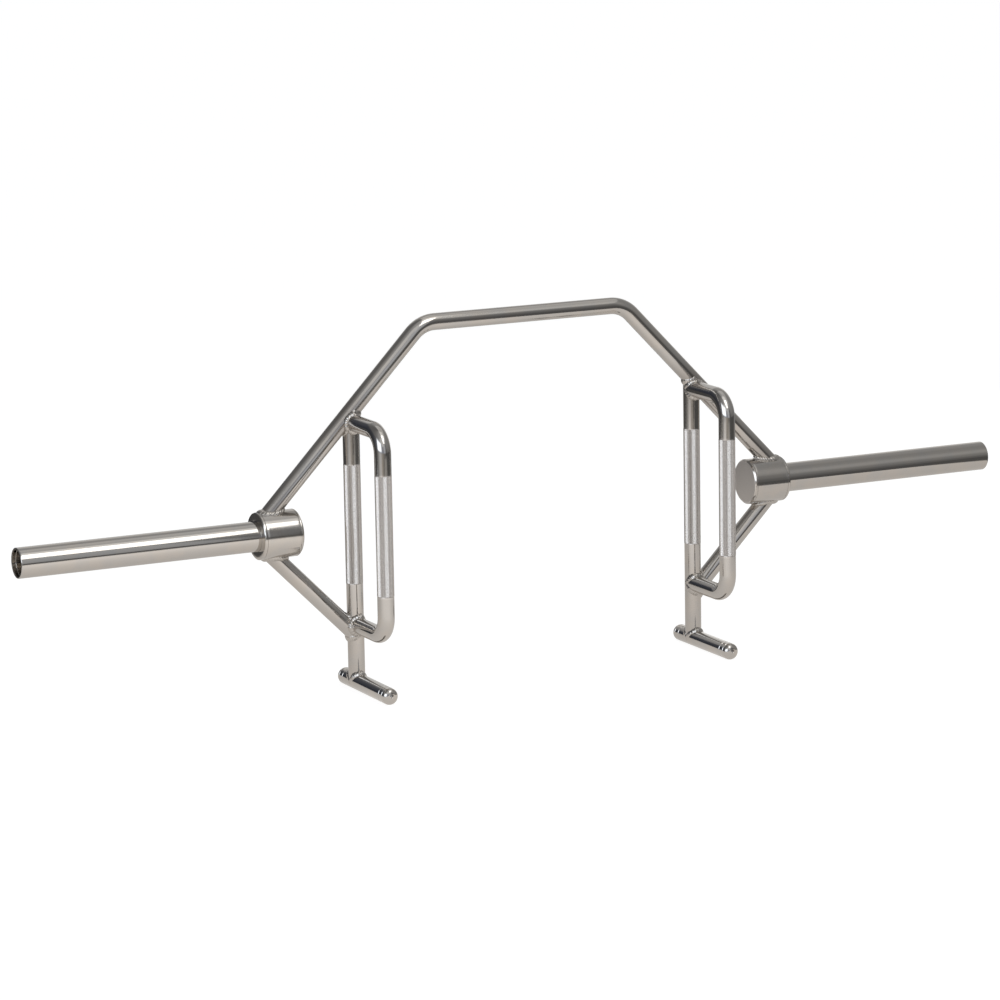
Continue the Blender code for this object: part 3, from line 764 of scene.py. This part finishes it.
bronze = plain_finish("turned_bronze", (0.55, 0.36, 0.17), (0.47, 0.30, 0.14), metallic=1.0,
                      roughness=0.34, scale=900.0, depth=0.00001)
spring_steel = plain_finish("oiled_spring_steel", (0.10, 0.10, 0.11), (0.07, 0.07, 0.08), metallic=1.0,
                            roughness=0.38, scale=700.0, depth=0.00001)
pad_plastic = plain_finish("thrust_plastic", (0.80, 0.78, 0.70), (0.74, 0.72, 0.64), metallic=0.0,
                           roughness=0.5, scale=600.0, depth=0.00002)
for name, _ in SIDES:
    for node, material in (("inner_bush", bronze), ("outer_bush", bronze), ("thrust_washer", bronze),
                           ("thrust_pad", pad_plastic), ("retaining_ring", spring_steel)):
        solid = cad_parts[name + "_" + node]
        solid.data.materials.clear()
        solid.data.materials.append(material)

# The camera stands in front of the bar and to its left, a little above it, as the photographer did. It is
# nearly 7 m away with a long lens, so the near and the far side look almost the same size.
CAMERA_TURN = math.radians(26.2928)
CAMERA_DIP = math.radians(10.8900)
CAMERA_ROLL = math.radians(-0.9968)
CAMERA_DISTANCE = 6.87366
CAMERA_TARGET = Vector((-0.048485, FRAME_Y, 0.291626))
SENSOR_WIDTH = 36.0
LENS = 4.110267 * SENSOR_WIDTH
CLIP_END = 200.0

forward = Vector((
    math.sin(CAMERA_TURN) * math.cos(CAMERA_DIP), math.cos(CAMERA_TURN) * math.cos(CAMERA_DIP),
    -math.sin(CAMERA_DIP)))
level = Vector((math.cos(CAMERA_TURN), -math.sin(CAMERA_TURN), 0))
upward = level.cross(forward)
right = level * math.cos(CAMERA_ROLL) + upward * math.sin(CAMERA_ROLL)
up = upward * math.cos(CAMERA_ROLL) - level * math.sin(CAMERA_ROLL)
camera_data = bpy.data.cameras.new("camera")
camera_data.sensor_width = SENSOR_WIDTH
camera_data.lens = LENS
camera_data.clip_end = CLIP_END
camera = bpy.data.objects.new("camera", camera_data)
camera.matrix_world = Matrix.Translation(CAMERA_TARGET - forward * CAMERA_DISTANCE) @ Matrix(
    (right, up, -forward)).transposed().to_4x4()
bpy.context.scene.collection.objects.link(camera)
bpy.context.scene.camera = camera

# The studio: a pale floor, a large softbox overhead in front, a tall window on the left, white cards in front
# and behind, and dim walls. The bright steel mirrors all of it, so each is placed by what the steel shows.
WHITE = (1.0, 1.0, 1.0, 1.0)
FLOOR_REACH = 60.0
FLOOR_GREY = (0.30, 0.30, 0.30)
FLOOR_GLOW = 0.88
SHEET_GREY = (0.12, 0.115, 0.11)
SHEET_CORNERS = ((-1.60, -1.35), (-1.15, -1.56), (0.25, -1.52), (1.15, -0.62), (1.20, 1.00), (-1.60, 1.00))
SHEET_NEAR = ((0.93, 0.895, 0.865, 1.0), (0.64, 0.615, 0.595, 1.0))
SHEET_FAR = ((0.52, 0.50, 0.48, 1.0), (0.54, 0.52, 0.50, 1.0))
SHEET_LEFT_TO_RIGHT = (-0.3, 0.9)
SHEET_NEAR_TO_FAR = (-0.80, 0.45)
SHEET_MIDDLE = Vector((-0.05, -0.15))
SHEET_FADE = 1.10
SHEET_DROP = 0.0005


def flat_piece(name, corners, faces):
    """A piece of the studio's floor, which isn't part of the object."""
    mesh = bpy.data.meshes.new(name)
    mesh.from_pydata(corners, [], faces)
    item = bpy.data.objects.new(name, mesh)
    bpy.context.scene.collection.objects.link(item)
    return item


def pale_paint(name, colour, glow):
    """Matt paint with a white glow of its own, which stands for the even light on a studio floor."""
    material, shader, base = new_shader(name)
    for socket, value in (("Base Color", (*colour, 1.0)), ("Roughness", 1.0), ("Specular IOR Level", 0.0),
                          ("Emission Color", WHITE), ("Emission Strength", glow)):
        shader.inputs[socket].default_value = value
    return material, shader, base


floor_corners = [(FLOOR_REACH * x, FLOOR_REACH * y, 0) for x, y in ((-1, -1), (1, -1), (1, 1), (-1, 1))]
floor = flat_piece("floor", floor_corners, [(0, 1, 2, 3)])
floor.data.materials.append(pale_paint("floor_paint", FLOOR_GREY, FLOOR_GLOW)[0])
floor.visible_glossy = False

# The steel does not mirror the floor itself but this sheet just under it, which is brightest near the camera
# on the left and fades out all round. Only reflections see it.
inner = [Vector(corner) for corner in SHEET_CORNERS]
outer = [SHEET_MIDDLE + (corner - SHEET_MIDDLE) * SHEET_FADE for corner in inner]
count = len(SHEET_CORNERS)
border = [(i, count + i, count + (i + 1) % count, (i + 1) % count) for i in range(count)]
sheet_corners = [(*corner, -SHEET_DROP) for corner in inner + outer]
floor_sheet = flat_piece("floor_sheet", sheet_corners, [tuple(range(count)), *border])
mark_points(floor_sheet.data, "solid", [1.0] * count + [0.0] * count)
sheet_paint, shader, base = pale_paint("sheet_paint", SHEET_GREY, 1.0)
spot = base.node("TexCoord", {}, {}, output="Object")
across, back = (base.node("SeparateXYZ", {}, {0: spot}, output=axis) for axis in "XY")
rightwards = across.ramp(*SHEET_LEFT_TO_RIGHT)
glow = back.ramp(*SHEET_NEAR_TO_FAR).blend(rightwards.blend(*SHEET_NEAR), rightwards.blend(*SHEET_FAR))
link_surface(sheet_paint, shader, Emission_Color=glow, Alpha=base.attribute("solid").ramp(0.0, 1.0))
floor_sheet.data.materials.append(sheet_paint)
floor_sheet.visible_camera = floor_sheet.visible_diffuse = floor_sheet.visible_shadow = False


def panel(name, centre, facing, size, radiance, colour):
    """A flat light of an even radiance that the camera itself doesn't see."""
    light = bpy.data.lights.new(name, "AREA")
    light.shape = "RECTANGLE"
    light.size, light.size_y = size
    light.energy = radiance * math.pi * size[0] * size[1]
    light.color = colour
    item = bpy.data.objects.new(name, light)
    item.location = centre
    item.rotation_euler = facing.to_track_quat("-Z", "Y").to_euler()
    item.visible_camera = False
    bpy.context.scene.collection.objects.link(item)


LAMP_WHITE = (1.0, 0.99, 0.97)
CARD_CREAM = (1.0, 0.97, 0.93)
CARD_BLUE = (0.94, 0.97, 1.0)
DOWN, UP = Vector((0, 0, -1)), Vector((0, 0, 1))
BACKWARDS, FORWARDS = Vector((0, 1, 0)), Vector((0, -1, 0))

panel("softbox", (0.22, -1.84, 2.35), DOWN, size=(1.04, 1.96), radiance=2.05, colour=LAMP_WHITE)
panel("softbox_edge", (0.22, -0.56, 2.352), DOWN, size=(1.04, 0.60), radiance=0.38, colour=LAMP_WHITE)
panel("ceiling_glow", (0.60, -0.50, 2.36), DOWN, size=(1.80, 2.80), radiance=0.26, colour=LAMP_WHITE)
panel("bounce", (-1.05, -2.80, 2.35), DOWN, size=(1.40, 3.00), radiance=0.30, colour=LAMP_WHITE)
panel("front_card", (0.30, -4.00, 1.60), BACKWARDS, size=(1.70, 2.40), radiance=0.28, colour=CARD_BLUE)
panel("back_card", (1.05, 2.00, 1.00), FORWARDS, size=(3.30, 2.00), radiance=0.22, colour=CARD_CREAM)
panel("back_card_bright", (1.85, 1.98, 0.40), FORWARDS, size=(1.90, 0.80), radiance=0.35, colour=CARD_CREAM)
panel("front_floor", (0.35, -2.00, 0.001), UP, size=(1.10, 0.70), radiance=0.27, colour=CARD_CREAM)

world = bpy.data.worlds.new("studio")
bpy.context.scene.world = world
world.use_nodes = True
sky = Shade(world.node_tree)
towards = sky.node("TexCoord", {}, {}, output="Generated")
east, north, height = (sky.node("SeparateXYZ", {}, {0: towards}, output=axis) for axis in "XYZ")
round_about = sky.math("ARCTAN2", east, 0.0 - north) / (2 * math.pi) + 0.5


def wall(stops):
    """What hangs all round at one height, by degrees from the front towards the right."""
    placed = [(angle / 360 + 0.5, colour) for angle, colour in stops]
    return sky.node("ValToRGB", {"stops": placed}, {0: round_about})


def grey(value, blue=0.0):
    """A grey that may lean a little towards blue."""
    return (value * (1 - blue), value * (1 - blue / 2), value * (1 + blue))


# How high above the floor one wall passes into the next, as the rise of a line of sight of length one
UNDER_TO_LOW = (-0.02, 0.02)
LOW_TO_MIDDLE = (0.08, 0.30)
MIDDLE_TO_HIGH = (0.35, 0.62)
WINDOW_SILL = (0.02, 0.12)
WINDOW_HEAD = (0.50, 0.64)
WINDOW_LIGHT = (2.05, 2.2, 2.4, 1.0)

under = wall([
    (-180, grey(0.08)), (-130, grey(0.08)), (-105, grey(0.09)), (-90, grey(0.25)), (-75, grey(0.40)),
    (-61, grey(0.62)), (-46, grey(0.66)), (-33, (0.46, 0.43, 0.40)), (-15, (0.32, 0.30, 0.27)),
    (0, (0.23, 0.22, 0.21)), (12, grey(0.18)), (22, grey(0.11)), (33, grey(0.11)), (47, grey(0.11)),
    (62, grey(0.10)), (78, grey(0.11)), (104, grey(0.30)), (125, grey(0.26)), (180, grey(0.10))])
low = wall([
    (-180, grey(0.07, 0.2)), (-150, grey(0.05, 0.2)), (-125, grey(0.05, 0.1)), (-105, grey(0.14, 0.1)),
    (-60, grey(0.30, 0.1)), (-30, grey(0.42, 0.1)), (-10, grey(0.35, 0.1)), (6, grey(0.30, 0.1)),
    (14, grey(0.18, 0.05)), (25, grey(0.14)), (36, grey(0.18)), (50, grey(0.25)), (66, grey(0.24)),
    (90, grey(0.25)), (112, grey(0.36)), (135, grey(0.46)), (155, grey(0.50))])
middle = wall([
    (-180, grey(0.13, 0.1)), (-150, grey(0.07, 0.15)), (-128, grey(0.07, 0.1)), (-108, grey(0.10, 0.1)),
    (-90, grey(0.20, 0.1)), (-60, grey(0.33, 0.1)), (-30, grey(0.45, 0.05)), (-10, grey(0.40, 0.05)),
    (8, grey(0.34, 0.05)), (18, grey(0.22, 0.05)), (28, grey(0.20)), (38, grey(0.31)), (52, grey(0.31)),
    (90, grey(0.30)), (120, grey(0.42)), (160, grey(0.46))])
high = wall([
    (-180, grey(0.34)), (-150, grey(0.17)), (-122, grey(0.16)), (-98, grey(0.21)), (-75, grey(0.30)),
    (-45, grey(0.45)), (0, grey(0.45)), (30, grey(0.38)), (43, grey(0.42)), (60, grey(0.33)),
    (90, grey(0.31)), (130, grey(0.38)), (160, grey(0.42))])
pane = wall([(-180, grey(0.0)), (-90, grey(0.0)), (-79, grey(1.0)), (-42, grey(1.0)), (-29, grey(0.0))])
walls = height.ramp(*MIDDLE_TO_HIGH).blend(height.ramp(*LOW_TO_MIDDLE).blend(low, middle), high)
window = pane * height.ramp(*WINDOW_SILL) * height.ramp(*WINDOW_HEAD, 1.0, 0.0)
studio = height.ramp(*UNDER_TO_LOW).blend(under, window.blend(walls, WINDOW_LIGHT))
seen = sky.node("LightPath", {}, {}, output="Is Camera Ray")
shown = seen.blend(studio, WHITE)
world.node_tree.links.new(shown.socket, world.node_tree.nodes["Background"].inputs["Color"])
bpy.context.scene.view_settings.view_transform = "Standard"
